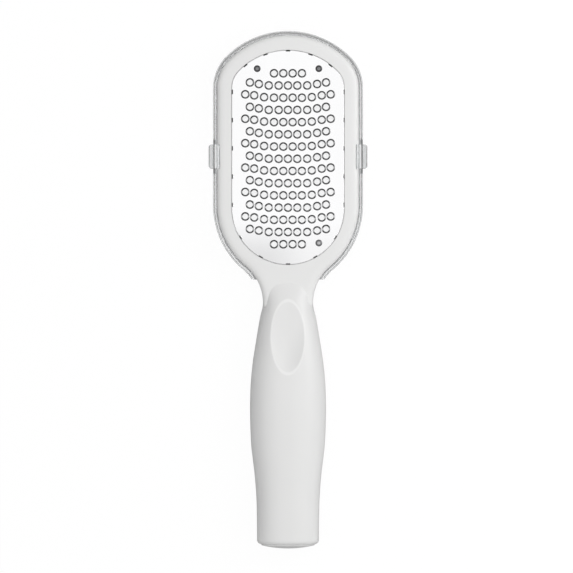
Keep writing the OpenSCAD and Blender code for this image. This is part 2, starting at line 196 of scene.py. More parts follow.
def turned(name, profile, places, segments, closed):
    # turns a profile of (radius, z) about an upright axis at each place
    points, faces = [], []
    turns = [2 * math.pi * i / segments for i in range(segments)]
    for cx, cy in places:
        base = len(points)
        for r, z in profile:
            points += [(cx + r * math.cos(a), cy + r * math.sin(a), z) for a in turns]
        rings = len(profile)
        for i in range(rings if closed else rings - 1):
            a, b = base + i * segments, base + (i + 1) % rings * segments
            faces += [(a + j, a + (j + 1) % segments, b + (j + 1) % segments, b + j) for j in range(segments)]
        if not closed:
            last = base + (rings - 1) * segments
            faces += [tuple(range(base, base + segments)), tuple(range(last, last + segments))]
    return meshObject(name, points, faces)


def block(low, high, turn=0, place=(0, 0)):
    # a box between two corners, turned about the upright axis and then moved to a place
    ca, sa = math.cos(math.radians(turn)), math.sin(math.radians(turn))
    corners = [(x, y, z) for z in (low[2], high[2]) for x, y in
               ((low[0], low[1]), (high[0], low[1]), (high[0], high[1]), (low[0], high[1]))]
    points = [(place[0] + x * ca - y * sa, place[1] + x * sa + y * ca, z) for x, y, z in corners]
    faces = [(3, 2, 1, 0), (4, 5, 6, 7), (0, 1, 5, 4), (1, 2, 6, 5), (2, 3, 7, 6), (3, 0, 4, 7)]
    return meshObject("block", points, faces)


def applyModifiers(piece):
    shaped = piece.evaluated_get(bpy.context.evaluated_depsgraph_get())
    mesh = bpy.data.meshes.new_from_object(shaped)
    piece.modifiers.clear()
    piece.data = mesh


def combine(piece, operation, *tools):
    for tool in tools:
        step = piece.modifiers.new("combine", "BOOLEAN")
        step.operation = operation
        step.solver = "MANIFOLD"
        step.object = tool
    applyModifiers(piece)
    for tool in tools:
        bpy.data.objects.remove(tool)
    return piece


def smoothed(piece, angle):
    piece.data.shade_smooth()
    piece.data.set_sharp_from_angle(angle=math.radians(angle))
    weights = piece.modifiers.new("weightedNormals", "WEIGHTED_NORMAL")
    weights.keep_sharp = True
    return piece


def finished(piece, name, node, material, angle=24):
    piece.name = name
    piece.data.name = name
    piece.data.materials.clear()
    piece.data.materials.append(material)
    smoothed(piece, angle)
    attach(piece, "root")
    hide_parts(node)
    print(f"{name}: {len(piece.data.polygons)} faces")
    return piece


# Sites around the plate's edge and on it
prong = {
    "width": 1.9,
    "tip": 1.2,  # how far its turned-over end runs out
    "bend": 0.8,
    "slack": 0.1,
    "slotOut": 0.2,  # how far its slot runs past the plate's edge
    "tipRest": 6.7,  # degrees from the ends of the tip's arc to the outer prongs
    "lowRest": 31.5,  # the same on the arc towards the grip
    "sideRest": 1.5,
}


def onArc(centre, radius, angle):
    a = math.radians(angle)
    return (centre[0] + radius * math.sin(a), centre[1] + radius * math.cos(a))


def prongSites():
    sites = []
    for i in range(-2, 3):
        a = i / 2 * (tipAngle - prong["tipRest"])
        sites.append((onArc(plateTip, tipRadius - plate["sideInset"], a), -a))
        a = 180 + i / 2 * (90 - prong["lowRest"])
        sites.append((onArc(plateLow, plateHalf, a), -a))
        top, bottom = plateCorner[1] - prong["sideRest"], plateLow[1] + prong["sideRest"]
        y = top + (bottom - top) * (i + 2) / 4
        sites += [((side * plateHalf, y), -side * 90) for side in (-1, 1)]
    return sites


rivet = {
    "shank": 1,
    "hole": 1.1,
    "head": 1.45,
    "height": 0.5,
    "inset": 4.1,  # the plate's edge to the rivet's middle
    "upperRest": 13.7,  # degrees from the end of the tip's arc
    "lowerRest": 48.4,  # degrees from the start of the arc towards the grip
    "clear": 0.6,  # kept free of teeth around the head
}
upperRivet = onArc(plateTip, tipRadius - plate["sideInset"] - rivet["inset"], tipAngle - rivet["upperRest"])
lowerRivet = onArc(plateLow, plateHalf - rivet["inset"], 90 + rivet["lowerRest"])
rivetSites = [(-upperRivet[0], upperRivet[1]), upperRivet, lowerRivet]

teeth = {
    "middleDown": 54.4,  # middle row below the tip
    "rowPitch": 5.18,
    "chain": 3.95,
    "gap": 4.2,
    "pair": 3.8,
    "lift": 1.44,  # how far a row's ends lie above its middle
    "liftFrom": 7.2,  # a row starts to rise this far from its middle
    "liftTo": 18.3,
    "border": 3.4,
    "holeRadius": 1.2,
    "footRadius": 1.8,
    "drawnRadius": 1.86,  # where the flank starts to rise
    "lipRadius": 1.52,
    "height": 0.45,
}


def toothSites():
    # row by row, from the middle of a row outwards
    steps = [teeth["chain"], teeth["gap"], teeth["gap"], teeth["pair"], teeth["gap"]]
    sites = []
    for row in range(-9, 10):
        start = 0 if row % 2 == 0 else teeth["chain"] / 2
        for k in range(len(steps) + 1):
            x = start + sum(steps[:k])
            t = min(max((x - teeth["liftFrom"]) / (teeth["liftTo"] - teeth["liftFrom"]), 0), 1)
            y = tipY - teeth["middleDown"] + row * teeth["rowPitch"] + teeth["lift"] * t * t * (3 - 2 * t)
            room = min(math.dist((x, y), p) for p in (upperRivet, lowerRivet))
            inside = plateInset(x, y) > teeth["border"] + teeth["footRadius"]
            if inside and room > rivet["head"] + teeth["footRadius"] + rivet["clear"]:
                sites += [(x, y), (-x, y)] if x > 0 else [(x, y)]
    return sites


# Materials. Groups hold what several of them share: fine grain, a band between two heights, a turned edge.

def newGroup(name, inputs, outputs):
    group = bpy.data.node_groups.new(name, "ShaderNodeTree")
    for label, kind, value in inputs:
        socket = group.interface.new_socket(name=label, in_out="INPUT", socket_type=kind)
        socket.default_value = value
    for label, kind in outputs:
        group.interface.new_socket(name=label, in_out="OUTPUT", socket_type=kind)
    return group, group.nodes.new("NodeGroupInput"), group.nodes.new("NodeGroupOutput")


def maths(tree, operation, first, second):
    node = tree.nodes.new("ShaderNodeMath")
    node.operation = operation
    for socket, value in zip(node.inputs, (first, second)):
        if isinstance(value, (int, float)):
            socket.default_value = value
        else:
            tree.links.new(value, socket)
    return node.outputs[0]


def fineGrainGroup():
    group, given, out = newGroup(
        "fineGrain",
        [
            ("Colour", "NodeSocketColor", (0.8, 0.8, 0.8, 1)),
            ("Mottle", "NodeSocketFloat", 0.02),
            ("Scale", "NodeSocketFloat", 3000),
            ("Stretch", "NodeSocketFloat", 1),
            ("Roughness", "NodeSocketFloat", 0.4),
            ("Spread", "NodeSocketFloat", 0.05),
            ("Relief", "NodeSocketFloat", 0.00001),
        ],
        [("Colour", "NodeSocketColor"), ("Roughness", "NodeSocketFloat"), ("Normal", "NodeSocketVector")],
    )
    link = group.links.new
    place = group.nodes.new("ShaderNodeTexCoord")
    stretch = group.nodes.new("ShaderNodeCombineXYZ")
    stretch.inputs["X"].default_value = 1
    stretch.inputs["Z"].default_value = 1
    link(given.outputs["Stretch"], stretch.inputs["Y"])
    along = group.nodes.new("ShaderNodeVectorMath")
    along.operation = "MULTIPLY"
    link(place.outputs["Object"], along.inputs[0])
    link(stretch.outputs[0], along.inputs[1])

    fine = group.nodes.new("ShaderNodeTexNoise")
    fine.inputs["Detail"].default_value = 3
    link(along.outputs[0], fine.inputs["Vector"])
    link(given.outputs["Scale"], fine.inputs["Scale"])
    broad = group.nodes.new("ShaderNodeTexNoise")
    broad.inputs["Detail"].default_value = 4
    link(along.outputs[0], broad.inputs["Vector"])
    link(maths(group, "MULTIPLY", given.outputs["Scale"], 0.02), broad.inputs["Scale"])

    swing = maths(group, "SUBTRACT", broad.outputs["Fac"], 0.5)
    shade = maths(group, "ADD", maths(group, "MULTIPLY", swing, given.outputs["Mottle"]), 1)
    tint = group.nodes.new("ShaderNodeVectorMath")
    tint.operation = "SCALE"
    link(given.outputs["Colour"], tint.inputs[0])
    link(shade, tint.inputs["Scale"])
    link(tint.outputs[0], out.inputs["Colour"])

    both = maths(group, "ADD", swing, maths(group, "SUBTRACT", fine.outputs["Fac"], 0.5))
    spread = maths(group, "MULTIPLY", both, given.outputs["Spread"])
    link(maths(group, "ADD", spread, given.outputs["Roughness"]), out.inputs["Roughness"])

    bump = group.nodes.new("ShaderNodeBump")
    link(fine.outputs["Fac"], bump.inputs["Height"])
    link(given.outputs["Relief"], bump.inputs["Distance"])
    link(bump.outputs["Normal"], out.inputs["Normal"])
    return group


def ramped(tree, value, start, end):
    # 0 at start and 1 at end, smooth between them
    node = tree.nodes.new("ShaderNodeMapRange")
    node.interpolation_type = "SMOOTHSTEP"
    for label, given in (("Value", value), ("From Min", start), ("From Max", end)):
        if isinstance(given, (int, float)):
            node.inputs[label].default_value = given
        else:
            tree.links.new(given, node.inputs[label])
    return node.outputs["Result"]


def objectAxes(tree, kind):
    # x, y and z of one of the texture coordinates
    place = tree.nodes.new("ShaderNodeTexCoord")
    split = tree.nodes.new("ShaderNodeSeparateXYZ")
    tree.links.new(place.outputs[kind], split.inputs[0])
    return split.outputs


def heightBandGroup():
    # 1 between the heights Low and High, with soft ends of Blur, and broken up by a fine noise
    group, given, out = newGroup(
        "heightBand",
        [
            ("Low", "NodeSocketFloat", 0.0),
            ("High", "NodeSocketFloat", 0.01),
            ("Blur", "NodeSocketFloat", 0.0001),
            ("Break", "NodeSocketFloat", 0.2),
        ],
        [("Mask", "NodeSocketFloat")],
    )
    low, high, blur = (given.outputs[label] for label in ("Low", "High", "Blur"))
    z = objectAxes(group, "Object")["Z"]
    above = ramped(group, z, low, maths(group, "ADD", low, blur))
    below = ramped(group, z, maths(group, "ADD", high, blur), high)
    place = group.nodes.new("ShaderNodeTexCoord")
    noise = group.nodes.new("ShaderNodeTexNoise")
    noise.inputs["Scale"].default_value = 1800
    group.links.new(place.outputs["Object"], noise.inputs["Vector"])
    kept = maths(group, "SUBTRACT", 1, maths(group, "MULTIPLY", noise.outputs["Fac"], given.outputs["Break"]))
    band = maths(group, "MULTIPLY", above, below)
    group.links.new(maths(group, "MULTIPLY", band, kept), out.inputs["Mask"])
    return group


def turnedEdgeGroup():
    # Mask is 1 where the surface turns from level to upright, Flat where it is level
    group, given, out = newGroup(
        "turnedEdge",
        [
            ("Upright", "NodeSocketFloat", 0.2),
            ("Level", "NodeSocketFloat", 0.97),
            ("Blur", "NodeSocketFloat", 0.1),
        ],
        [("Mask", "NodeSocketFloat"), ("Flat", "NodeSocketFloat")],
    )
    upright, level, blur = (given.outputs[label] for label in ("Upright", "Level", "Blur"))
    rise = maths(group, "ABSOLUTE", objectAxes(group, "Normal")["Z"], 0)
    steep = ramped(group, rise, maths(group, "SUBTRACT", upright, blur), upright)
    bent = ramped(group, rise, level, maths(group, "SUBTRACT", level, blur))
    group.links.new(maths(group, "MULTIPLY", steep, bent), out.inputs["Mask"])
    group.links.new(maths(group, "SUBTRACT", 1, bent), out.inputs["Flat"])
    return group


fineGrain = fineGrainGroup()
heightBand = heightBandGroup()
turnedEdge = turnedEdgeGroup()


def addGroup(tree, group, values):
    node = tree.nodes.new("ShaderNodeGroup")
    node.node_tree = group
    for label, value in values.items():
        node.inputs[label].default_value = value
    return node


def mixed(tree, mask, first, second):
    node = tree.nodes.new("ShaderNodeMix")
    node.data_type = "RGBA"
    tree.links.new(mask, node.inputs[0])
    for socket, value in ((node.inputs[6], first), (node.inputs[7], second)):
        if isinstance(value, tuple):
            socket.default_value = value
        else:
            tree.links.new(value, socket)
    return node.outputs[2]


def grainedMaterial(name, grain, metallic=0.0, transmission=0.0, ior=1.5):
    material = bpy.data.materials.new(name)
    material.use_nodes = True
    tree = material.node_tree
    shader = tree.nodes["Principled BSDF"]
    shader.inputs["Metallic"].default_value = metallic
    shader.inputs["Transmission Weight"].default_value = transmission
    shader.inputs["IOR"].default_value = ior
    texture = addGroup(tree, fineGrain, grain)
    tree.links.new(texture.outputs["Colour"], shader.inputs["Base Color"])
    tree.links.new(texture.outputs["Roughness"], shader.inputs["Roughness"])
    tree.links.new(texture.outputs["Normal"], shader.inputs["Normal"])
    return material, tree, shader, texture


whiteShell = {
    "Colour": (0.875, 0.875, 0.87, 1),
    "Mottle": 0.03,
    "Scale": 2600,
    "Roughness": 0.3,
    "Spread": 0.08,
    "Relief": 0.000004,
}
thumb = {
    "down": 14.4,  # the neck to the middle of the thumb rest
    "length": 30.7,
    "width": 14.2,
    "depth": 1.9,
    "lip": 0.28,
    # bright and line: colour and place of the painted highlight on the lip
    "bright": (0.95, 0.95, 0.945, 1),
    "line": {"at": 1.01, "full": 0.015, "fade": 0.07},  # as shares of the half length and width
}
thumbY = neckY - thumb["down"]


def whitePlasticMaterial():
    # painted highlight: the lip of the thumb rest is painted as a thin bright line all around, where its
    # rounding would catch the light
    material, tree, shader, texture = grainedMaterial("whitePlastic", whiteShell, ior=1.48)
    place = objectAxes(tree, "Object")
    x = maths(tree, "DIVIDE", place["X"], thumb["width"] / 2 * mm)
    y = maths(tree, "DIVIDE", maths(tree, "SUBTRACT", place["Y"], thumbY * mm), thumb["length"] / 2 * mm)
    squares = maths(tree, "ADD", maths(tree, "MULTIPLY", x, x), maths(tree, "MULTIPLY", y, y))
    line = thumb["line"]
    off = maths(tree, "ABSOLUTE", maths(tree, "SUBTRACT", maths(tree, "SQRT", squares, 0), line["at"]), 0)
    onFront = ramped(tree, place["Z"], 14 * mm, 15 * mm)
    # mask of the painted highlight along the lip
    lip = maths(tree, "MULTIPLY", ramped(tree, off, line["fade"], line["full"]), onFront)
    tree.links.new(mixed(tree, lip, texture.outputs["Colour"], thumb["bright"]), shader.inputs["Base Color"])
    return material


whitePlastic = whitePlasticMaterial()

clearShell = {
    "Colour": (0.84, 0.85, 0.855, 1),
    "Mottle": 0.03,
    "Scale": 1500,
    "Roughness": 0.06,
    "Spread": 0.05,
    "Relief": 0.000003,
}
# Bands of height, in metres, with painted light and shade of their own, on turned edges (Mask) or on level
# faces (Flat): painted lighter on the rim's top and the floor, painted darker on the rim's edges, the tabs,
# the reliefs and the floor's fillet
clearPaintedLightAndShade = {
    "rimEdge": {"low": 0.0115, "high": 0.0131, "faces": "Mask", "colour": (0.9, 0.91, 0.915, 1)},
    "rimTop": {"low": 0.0115, "high": 0.0131, "faces": "Flat", "colour": (0.98, 0.985, 0.99, 1)},
    "tabUnder": {"low": 0.0101, "high": 0.0105, "faces": "Flat", "colour": (0.45, 0.455, 0.46, 1)},
    "tabEdge": {"low": 0.0135, "high": 0.018, "faces": "Mask", "colour": (0.25, 0.255, 0.26, 1)},
    "relief": {"low": 0.0067, "high": 0.0072, "faces": "Flat", "colour": (0.25, 0.255, 0.26, 1)},
    "floor": {"low": -0.001, "high": 0.0016, "faces": "Flat", "colour": (0.98, 0.985, 0.99, 1)},
    "fillet": {"low": 0.0014, "high": 0.0026, "faces": "Mask", "colour": (0.1, 0.1, 0.105, 1)},
}


def clearPlasticMaterial():
    # painted shade: light runs the long way through the wall behind a turned edge, so it is painted darker
    # there; painted light on the rim's top and the floor
    material, tree, shader, texture = grainedMaterial("clearPlastic", clearShell, transmission=0.92, ior=1.49)
    edge = addGroup(tree, turnedEdge, {"Upright": 0.25, "Level": 0.985, "Blur": 0.12})
    colour = texture.outputs["Colour"]
    for band in clearPaintedLightAndShade.values():
        ends = {"Low": band["low"], "High": band["high"], "Blur": 0.0002, "Break": 0}
        height = addGroup(tree, heightBand, ends).outputs["Mask"]
        paintedBandMask = maths(tree, "MULTIPLY", height, edge.outputs[band["faces"]])
        colour = mixed(tree, paintedBandMask, colour, band["colour"])
    tree.links.new(colour, shader.inputs["Base Color"])
    return material


clearPlastic = clearPlasticMaterial()

rivetFinish = {
    "Colour": (0.075, 0.075, 0.078, 1),
    "Mottle": 0.3,
    "Scale": 3500,
    "Roughness": 0.3,
    "Spread": 0.15,
    "Relief": 0.00001,
}
# painted highlight on the middle of the heads, and the lighter colour of the rivet near the grip
rivetHighlightAndTone = {
    "middle": (0.2, 0.2, 0.205, 1),
    "lower": (0.17, 0.17, 0.175, 1),
    "lowerMiddle": (0.42, 0.42, 0.425, 1),
    "lowerFrom": 60,  # the lower rivet is the one past these places, towards the grip
    "lowerTo": 40,
}


def rivetSteelMaterial():
    # painted highlight on the middle of the head; the one near the grip is lighter all over
    material, tree, shader, texture = grainedMaterial("rivetSteel", rivetFinish, metallic=1.0)
    edge = addGroup(tree, turnedEdge, {"Upright": 0.1, "Level": 0.996, "Blur": 0.016})
    place = objectAxes(tree, "Object")
    lowest = ramped(tree, place["Y"], rivetHighlightAndTone["lowerFrom"] * mm, rivetHighlightAndTone["lowerTo"] * mm)
    rim = mixed(tree, lowest, texture.outputs["Colour"], rivetHighlightAndTone["lower"])
    middle = mixed(tree, lowest, rivetHighlightAndTone["middle"], rivetHighlightAndTone["lowerMiddle"])
    colour = mixed(tree, edge.outputs["Flat"], rim, middle)
    tree.links.new(colour, shader.inputs["Base Color"])
    return material


rivetSteel = rivetSteelMaterial()

sheetFinish = {
    "Colour": (0.9, 0.9, 0.905, 1),
    "Mottle": 0.05,
    "Scale": 2400,
    "Stretch": 0.06,
    "Roughness": 0.17,
    "Spread": 0.09,
    "Relief": 0.000003,
}
# painted shade on the drawn flanks of the teeth, and painted reflections that lighten it
paintedFlankShade = {
    "dark": (0.045, 0.045, 0.048, 1),
    "openFrom": 90,  # a flank's left and right get lighter from here
    "openTo": 20,  # to here, towards the grip
    "least": 0.4,
    "most": 1.0,
    "away": 0.45,  # how light a flank is where it faces the grip or the right
    "worn": 0.55,  # rougher where it is light
    "matt": 0.2,  # rougher where it is dark
}
# painted shade on the sheet towards its lower left, and in its slots
sheetShade = {
    "grey": (0.69, 0.69, 0.695, 1),
    "lowFrom": 32,  # greyer from here
    "lowTo": 12,  # to here, towards the grip
    "leftFrom": 12,
    "leftTo": -12,
    "right": 0.35,  # share of the grey at the right
    "slots": 0.4,  # how much less dark the slots are towards the grip
}


def sheetSteelMaterial():
    material, tree, shader, texture = grainedMaterial("sheetSteel", sheetFinish, metallic=1.0)
    flankLow, flankHigh = (plateTop + 0.02) * mm, (plateTop + teeth["height"]) * mm
    flank = {"Low": flankLow, "High": flankHigh, "Blur": 0.00003, "Break": 0.15}
    # painted shade on the steel below the face, which the slots show
    paintedShadeBelow = {"Low": 0, "High": (plateTop - 0.2) * mm, "Blur": 0.0001, "Break": 0.1}
    drawn = addGroup(tree, heightBand, flank).outputs["Mask"]
    deep = addGroup(tree, heightBand, paintedShadeBelow).outputs["Mask"]

    # painted shade: the drawn flanks are painted dark, with painted reflections that make them lighter on
    # their left and right, most in the rows towards the grip
    facing = objectAxes(tree, "Normal")
    sideways = maths(tree, "ABSOLUTE", facing["X"], 0)
    lengthways = maths(tree, "ABSOLUTE", facing["Y"], 0)
    aside = ramped(tree, maths(tree, "SUBTRACT", sideways, lengthways), 0.2, 0.6)
    place = objectAxes(tree, "Object")
    lowRow = ramped(tree, place["Y"], paintedFlankShade["openFrom"] * mm, paintedFlankShade["openTo"] * mm)
    spread = maths(tree, "MULTIPLY", lowRow, paintedFlankShade["most"] - paintedFlankShade["least"])
    paintedSideReflection = maths(tree, "MULTIPLY", aside, maths(tree, "ADD", spread, paintedFlankShade["least"]))
    # painted light where a flank faces the grip or the right
    for axis, start, end in (("Y", -0.6, -0.74), ("X", 0.6, 0.74)):
        paintedFacingLight = maths(tree, "MULTIPLY", ramped(tree, facing[axis], start, end), paintedFlankShade["away"])
        paintedSideReflection = maths(tree, "MAXIMUM", paintedSideReflection, paintedFacingLight)
    shade = maths(tree, "MULTIPLY", drawn, maths(tree, "SUBTRACT", 1, paintedSideReflection))
    # painted shade in the slots and on the steel below the face, less dark towards the grip
    lighter = maths(tree, "MULTIPLY", lowRow, sheetShade["slots"])
    slots = maths(tree, "MULTIPLY", deep, maths(tree, "SUBTRACT", 1, lighter))
    mask = maths(tree, "MAXIMUM", shade, slots)

    # painted shade: the sheet is a little greyer towards its lower left
    low = ramped(tree, place["Y"], sheetShade["lowFrom"] * mm, sheetShade["lowTo"] * mm)
    left = ramped(tree, place["X"], sheetShade["leftFrom"] * mm, sheetShade["leftTo"] * mm)
    left = maths(tree, "ADD", maths(tree, "MULTIPLY", left, 1 - sheetShade["right"]), sheetShade["right"])
    sheet = mixed(tree, maths(tree, "MULTIPLY", low, left), texture.outputs["Colour"], sheetShade["grey"])
    colour = mixed(tree, mask, sheet, paintedFlankShade["dark"])
    tree.links.new(colour, shader.inputs["Base Color"])
    worn = maths(tree, "MULTIPLY", maths(tree, "MULTIPLY", drawn, paintedSideReflection), paintedFlankShade["worn"])
    matt = maths(tree, "ADD", worn, maths(tree, "MULTIPLY", mask, paintedFlankShade["matt"]))
    rough = maths(tree, "ADD", texture.outputs["Roughness"], matt)
    tree.links.new(rough, shader.inputs["Roughness"])
    return material


sheetSteel = sheetSteelMaterial()
print("materials ready")


# Front shell: the head's frame, the neck and the front half of the grip
shell = {
    "edgeDrop": 2.2,  # the face falls away to the side by this much
    "edgeReach": 4.2,  # over this width
    "edgeFullness": 2.6,  # exponent of that rounding: 2 is an ellipse
    "webThickness": 2.6,
    "skirt": 2,
    "bulkhead": 2,
    "wall": 2.2,
    "jointZ": 10,
    "land": 0.4,  # upright band on each side of the joint
    "groove": 0.2,  # shadow line where the two shells meet
    "gripLength": 104.4,
    "gripWidth": 32.3,
    "heelWidth": 26.4,
    "neckTop": 18.8,
    "bellyTop": 22,
    "heelTop": 19.2,
    "neckUnder": 2.2,
    "heelUnder": 2.4,
    "heelBulge": 1.9,
    "heelRadius": 1.8,
    "fullness": 2.4,  # exponent of the grip's section
    "trayEnd": 10,  # the tray ends this far above the neck
    "skirtZ": 1.5,  # the skirt's lower edge, which stands on the tray's floor
    "skirtEdge": 0.3,
    "webFillet": 0.8,
    "recessEdge": 0.28,
    "postEnd": 1.1,  # sockets and posts end this deep in the skin
    "hookDepth": 1.1,
}
endY = neckY + shell["trayEnd"]
webZ = plate["faceZ"] - shell["webThickness"]
heelEdge = heelY + shell["heelBulge"]
faceZ = plate["faceZ"]


def mix(a, b, t):
    return a + (b - a) * t


def along(line, g):
    # smooth line through points whose first number grows
    i = 0
    while i < len(line) - 2 and g > line[i + 1][0]:
        i += 1

    def slope(k):
        a, b = line[max(k - 1, 0)], line[min(k + 1, len(line) - 1)]
        return (b[1] - a[1]) / (b[0] - a[0])

    h = line[i + 1][0] - line[i][0]
    t = (g - line[i][0]) / h
    u = 1 - t
    level = line[i][1] * u * u * (1 + 2 * t) + line[i + 1][1] * t * t * (1 + 2 * u)
    return level + h * t * u * (slope(i) * u - slope(i + 1) * t)


def shares(first, second, steps):
    # points of a line along the grip: how far down it, and how far from the first size to the second
    return [(g, mix(first, second, t)) for g, t in steps]


halfNeck, halfGrip, halfHeel = head["neckWidth"] / 2, shell["gripWidth"] / 2, shell["heelWidth"] / 2
halfLine = (
    shares(halfNeck, halfGrip, [(-0.06, 0.23), (0, 0), (0.06, 0.23), (0.13, 0.46), (0.25, 0.81)])
    + shares(halfNeck, halfGrip, [(0.34, 0.96), (0.45, 1)])
    + shares(halfGrip, halfHeel, [(0.58, 0.17), (0.65, 0.46), (0.72, 0.73), (0.81, 0.94)])
    + shares(halfGrip, halfHeel, [(0.92, 1), (1, 1)])
)
crownLine = (
    [(-0.16, faceZ - 3), (-0.08, faceZ)]
    + shares(shell["neckTop"], shell["bellyTop"], [(0, 0), (0.08, 0.42), (0.2, 0.8), (0.45, 1)])
    + shares(shell["bellyTop"], shell["heelTop"], [(0.75, 0.55), (1, 1)])
)
underLine = (
    [(-0.1, shell["neckUnder"])]
    + shares(shell["neckUnder"], 0, [(0, 0), (0.2, 0.6), (0.47, 1)])
    + shares(0, shell["heelUnder"], [(0.75, 0.5), (1, 1)])
)


def share(y):
    # how far down the grip: 0 at the neck and 1 at the heel
    return (neckY - y) / shell["gripLength"]


def gripHalf(y):
    # above the neck it keeps just inside the frame's sides
    if y > neckY:
        return neckX - math.sqrt(head["neckRadius"] ** 2 - (y - neckY) ** 2) - 0.1
    return along(halfLine, share(y))


def section(u):
    full = shell["fullness"]
    return max(1 - min(abs(u), 1) ** full, 0) ** (1 / full)


def crownZ(x, y):
    base = shell["jointZ"] + shell["land"]
    return base + (along(crownLine, share(y)) - base) * section(x / gripHalf(y))


def softMin(a, b, width):
    h = min(max(0.5 + 0.5 * (b - a) / width, 0), 1)
    return mix(b, a, h) - width * h * (1 - h)


def dishedZ(x, y):
    # the crown with the thumb rest pressed into it, rounded a little at the lip
    top = crownZ(x, y)
    f = math.hypot(2 * x / thumb["width"], 2 * (y - thumbY) / thumb["length"])
    if f > 1.25:
        return top
    low = along(crownLine, share(thumbY)) - thumb["depth"]
    rim = low if f < 0.001 else crownZ(x / f, thumbY + (y - thumbY) / f)
    return softMin(top, low + (rim - low) * f * f, thumb["lip"])


# The shells' skins ring by ring. With an inset a ring belongs to the hollow, and runs past the joint by drop.
def frontRing(y, scale=1, inset=0, drop=0, acrossPoints=120):
    half, jointZ = gripHalf(y) - inset, shell["jointZ"]
    base = jointZ + shell["land"]
    sides = [math.cos(math.pi * i / acrossPoints) for i in range(acrossPoints + 1)]
    if inset:
        top = along(crownLine, share(y)) - inset
        dips = [thumb["depth"] * max(1 - (2 * half * u / thumb["width"]) ** 2
                - (2 * (y - thumbY) / thumb["length"]) ** 2, 0) for u in sides]
        heights = [(top - base) * section(u) - dip for u, dip in zip(sides, dips)]
        joint = [(half * scale, jointZ - drop)]
    else:
        heights = [dishedZ(half * u, y) - base for u in sides]
        joint = [((half - shell["groove"]) * scale, jointZ), (half * scale, jointZ + shell["groove"])]
    start = [(x, y, z) for x, z in joint]
    end = [(-x, y, z) for x, z in reversed(joint)]
    return start + [(half * scale * u, y, base + scale * h) for u, h in zip(sides, heights)] + end


def backRing(y, scale=1, inset=0, drop=0, acrossPoints=72):
    half, jointZ = gripHalf(y) - inset, shell["jointZ"]
    base = jointZ - shell["land"]
    low = along(underLine, share(y)) + inset
    sides = [-math.cos(math.pi * i / acrossPoints) for i in range(acrossPoints + 1)]
    if inset:
        joint = [(half * scale, jointZ + drop)]
    else:
        joint = [((half - shell["groove"]) * scale, jointZ), (half * scale, jointZ - shell["groove"])]
    start = [(-x, y, z) for x, z in joint]
    end = [(x, y, z) for x, z in reversed(joint)]
    return start + [(half * scale * u, y, base - scale * (base - low) * section(u)) for u in sides] + end


def stations(start, end, step):
    count = math.ceil(abs(start - end) / step)
    return [mix(start, end, i / count) for i in range(count + 1)]


def heelStations():
    radius, half = shell["heelRadius"], shell["heelWidth"] / 2
    turns = [math.radians(a) for a in range(10, 90, 10)]
    rounding = [(heelEdge + radius * (1 - math.sin(a)), 1 - radius * (1 - math.cos(a)) / half) for a in turns]
    scales = [0.84, 0.74, 0.62, 0.5, 0.38, 0.26, 0.17, 0.1]
    return rounding + [(heelY + shell["heelBulge"] * s * s, s) for s in scales]


peg = {"radius": 1.6, "height": 4, "slack": 0.1, "down": (38, 82)}
pegPlaces = [(0, neckY - down) for down in peg["down"]]
socketRadius = peg["radius"] + peg["slack"] + shell["wall"]
boss = {"radius": 3, "height": 4}
bossZ = ledgeZ - boss["height"]
hollowFrom, hollowTo = neckY - 6, heelEdge + shell["wall"]


def quarter(steps=6):
    # angles of a quarter turn
    return [math.radians(90 * i / steps) for i in range(steps + 1)]


def tube(radius, low, high, places, segments=40):
    return turned("tube", [(radius, low), (radius, high)], places, segments, False)


def buildFrame():
    across, down, bend = shell["edgeReach"], shell["edgeDrop"], 2 / shell["edgeFullness"]
    edge, fillet = shell["skirtEdge"], shell["webFillet"]
    steps = [
        (across * (1 - math.sin(a) ** bend), faceZ - down * (1 - math.cos(a) ** bend))
        for a in quarter(18)
    ]
    steps += [(edge * (1 - math.cos(a)), shell["skirtZ"] + edge * (1 - math.sin(a))) for a in quarter(3)]
    piece = levels("frame", frameOutline, steps)

    inside = head["bodyInset"] + shell["skirt"]
    steps = [(inside, -1)]
    steps += [(inside + fillet * (1 - math.cos(a)), webZ - fillet * (1 - math.sin(a))) for a in quarter()]
    hollow = levels("hollow", headOutline, steps)
    combine(hollow, "DIFFERENCE", block((-far, heelY, farDown), (far, endY + shell["bulkhead"], far)))
    window = levels("window", lambda inset: plateOutline(-plate["ledge"]), [(0, -1), (0, far)])
    lower = block((-far, heelY, farDown), (far, endY, shell["jointZ"]))
    return combine(piece, "DIFFERENCE", lower, hollow, window)


def buildFrontGrip():
    start = neckY + 0.08 * shell["gripLength"] + 0.5
    dishTop, dishEnd = thumbY + thumb["length"] * 0.62, thumbY - thumb["length"] * 0.62
    places = stations(start, dishTop, 0.6)[:-1] + stations(dishTop, dishEnd, 0.4)[:-1]
    places += stations(dishEnd, heelEdge + shell["heelRadius"], 1.2)
    rings = [frontRing(y) for y in places] + [frontRing(y, s) for y, s in heelStations()]
    grip = loft("grip", rings)
    hollow = loft("hollow", [frontRing(y, 1, shell["wall"], 1) for y in stations(hollowFrom, hollowTo, 2)])
    return combine(grip, "DIFFERENCE", hollow)


